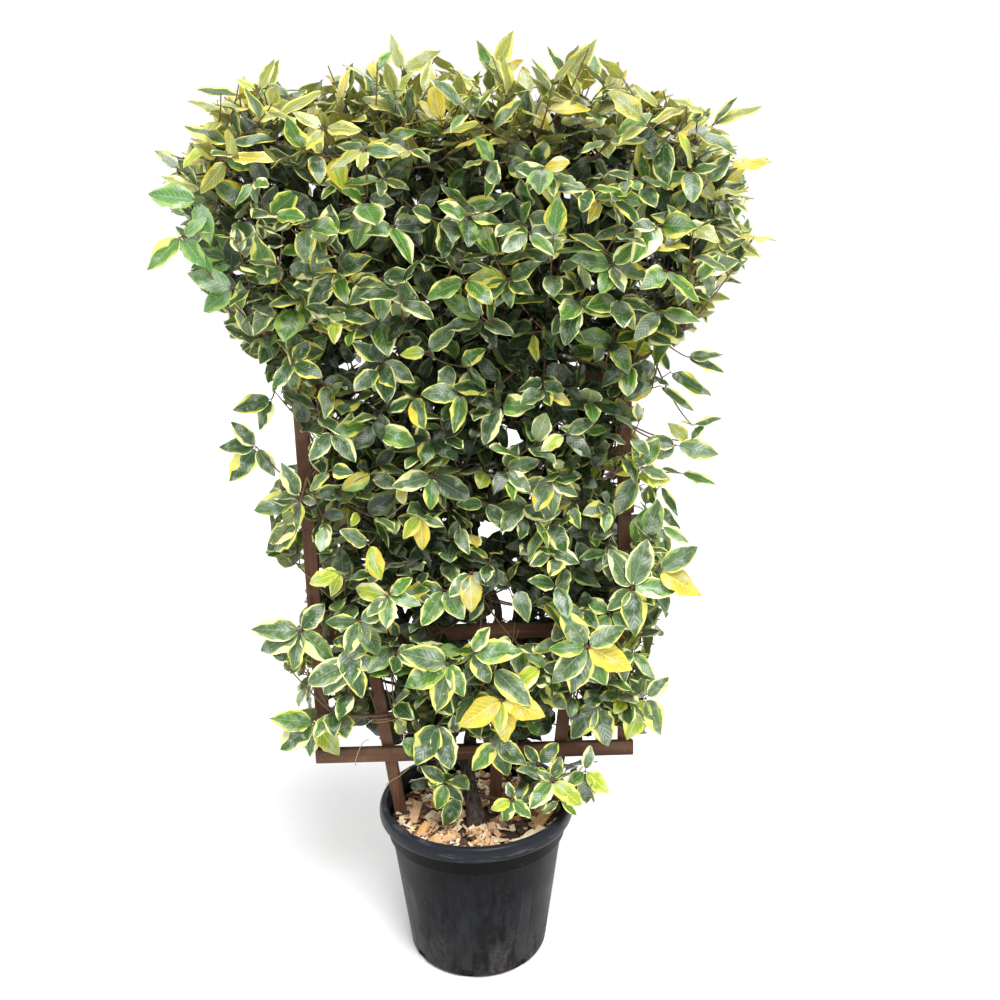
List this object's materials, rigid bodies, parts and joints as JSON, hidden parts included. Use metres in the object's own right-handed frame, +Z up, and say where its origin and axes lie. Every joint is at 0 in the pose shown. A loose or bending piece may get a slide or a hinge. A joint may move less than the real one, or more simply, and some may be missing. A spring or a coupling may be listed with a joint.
{
  "type": "potted trellised shrub",
  "caption": "Evergreen shrub with yellow-edged leaves, trained flat on a fan trellis of wooden laths, in a round nursery pot with a rolled rim.",
  "frame": {"origin": "middle of the pot's flat underside, which stands on the ground", "axes": "+Z up, the front of the trained plant towards -Y, +X to the right seen from the front"},
  "size_m": [1.138, 0.5028, 1.7641],
  "materials": {
    "pot_plastic": "satin",
    "bark_mulch": "matte",
    "stained_lath": "matte",
    "grey_bark": "matte",
    "variegated_leaf": "satin"
  },
  "bodies": {
    "root": {"bough_centre": "grey_bark", "bough_left_inner": "grey_bark", "bough_left_outer": "grey_bark", "bough_right_inner": "grey_bark", "bough_right_outer": "grey_bark", "crosspiece_1": "stained_lath", "crosspiece_2": "stained_lath", "crosspiece_3": "stained_lath", "crosspiece_4": "stained_lath", "crosspiece_5": "stained_lath", "foliage_back_1_1": "variegated_leaf", "foliage_back_1_2": "variegated_leaf", "foliage_back_2_1": "variegated_leaf", "foliage_back_2_2": "variegated_leaf", "foliage_back_3_1": "variegated_leaf", "foliage_back_3_2": "variegated_leaf", "foliage_back_4_1": "variegated_leaf", "foliage_back_4_2": "variegated_leaf", "foliage_back_4_3": "variegated_leaf", "foliage_back_5_1": "variegated_leaf", "foliage_back_5_2": "variegated_leaf", "foliage_back_5_3": "variegated_leaf", "foliage_front_1_1": "variegated_leaf", "foliage_front_1_2": "variegated_leaf", "foliage_front_1_3": "variegated_leaf", "foliage_front_2_1": "variegated_leaf", "foliage_front_2_2": "variegated_leaf", "foliage_front_2_3": "variegated_leaf", "foliage_front_3_1": "variegated_leaf", "foliage_front_3_2": "variegated_leaf", "foliage_front_3_3": "variegated_leaf", "foliage_front_4_1": "variegated_leaf", "foliage_front_4_2": "variegated_leaf", "foliage_front_4_3": "variegated_leaf", "foliage_front_4_4": "variegated_leaf", "foliage_front_5_1": "variegated_leaf", "foliage_front_5_2": "variegated_leaf", "foliage_front_5_3": "variegated_leaf", "foliage_front_5_4": "variegated_leaf", "foliage_low_left": "variegated_leaf", "foliage_rim_right": "variegated_leaf", "leg_centre": "stained_lath", "leg_left": "stained_lath", "leg_right": "stained_lath", "pot": "pot_plastic", "potting_mix": "bark_mulch", "trunk": "grey_bark", "upright_left": "stained_lath", "upright_right": "stained_lath"}
  },
  "joints": []
}
